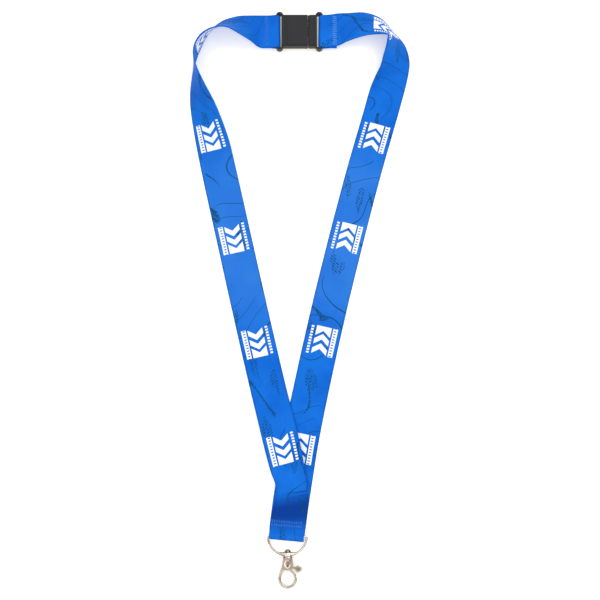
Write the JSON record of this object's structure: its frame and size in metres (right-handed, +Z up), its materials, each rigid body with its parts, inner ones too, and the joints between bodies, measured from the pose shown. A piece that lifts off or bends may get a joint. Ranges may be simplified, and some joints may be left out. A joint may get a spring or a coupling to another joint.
{
  "type": "lanyard",
  "caption": "Neck lanyard: printed woven ribbon with a breakaway buckle, a D-ring and a swivel trigger hook for keys or a badge.",
  "frame": {"origin": "centre of the footprint of the lanyard as it lies flat, at table height", "axes": "+X across the loop, +Y from the hook to the buckle, +Z up from the table"},
  "size_m": [0.1613, 0.4155, 0.025],
  "materials": {
    "ribbon": "woven polyester, dye printed on both sides",
    "thread": "polyester sewing thread",
    "buckle_plastic": "moulded acetal, fine grain",
    "nickel": "nickel plated zinc and wire",
    "pin_steel": "plain steel"
  },
  "bodies": {
    "strap": {"ribbon_left_corner": "ribbon", "ribbon_left_arm": "ribbon", "ribbon_left_tail": "ribbon", "ribbon_left_fold": "ribbon", "ribbon_front_layer": "ribbon", "ribbon_ring_fold": "ribbon", "ribbon_back_layer": "ribbon", "ribbon_right_arm": "ribbon", "seam_left": "thread", "seam_ring_upper": "thread", "seam_ring_lower": "thread", "female_housing": "buckle_plastic"},
    "male_half": {"male_base": "buckle_plastic", "ribbon_right_corner": "ribbon", "ribbon_right_tail": "ribbon", "ribbon_right_fold": "ribbon", "seam_right": "thread"},
    "latch_upper": {"latch_arm_upper": "buckle_plastic"},
    "latch_lower": {"latch_arm_lower": "buckle_plastic"},
    "ring": {"d_ring": "nickel"},
    "hook": {"hook_body": "nickel", "swivel_rivet": "nickel", "gate_pin": "pin_steel", "gate_spring": "pin_steel"},
    "gate": {"gate_lever": "nickel"}
  },
  "joints": [
    {"name": "buckle_release", "type": "slide", "parent": "strap", "child": "male_half", "axis": [1, 0, 0], "range_m": [0, 0.016]},
    {"name": "latch_upper_flex", "type": "hinge", "parent": "male_half", "child": "latch_upper", "pos_m": [0.005, 0.20015, 0.0037], "axis": [0, 0, 1], "range_deg": [0, 5.3]},
    {"name": "latch_lower_flex", "type": "hinge", "parent": "male_half", "child": "latch_lower", "pos_m": [0.005, 0.18285, 0.0037], "axis": [0, 0, -1], "range_deg": [0, 5.3]},
    {"name": "ring_swing", "type": "hinge", "parent": "strap", "child": "ring", "pos_m": [-0.0089, -0.1729, 0.0021], "axis": [1, 0, 0], "range_deg": [-90, 90]},
    {"name": "hook_swivel", "type": "hinge", "parent": "ring", "child": "hook", "pos_m": [-0.0084, -0.185, 0.0021], "axis": [0, -1, 0], "continuous": true},
    {"name": "gate_open", "type": "hinge", "parent": "hook", "child": "gate", "pos_m": [-0.0084, -0.193, 0.0021], "axis": [0, 0, -1], "range_deg": [0, 20], "stiffness_Nm_per_rad": 0.02}
  ],
  "couplings": [
    {"joint": "latch_upper_flex", "follows": "buckle_release", "rad_per_m": 5.7814},
    {"joint": "latch_lower_flex", "follows": "buckle_release", "rad_per_m": 5.7814}
  ]
}
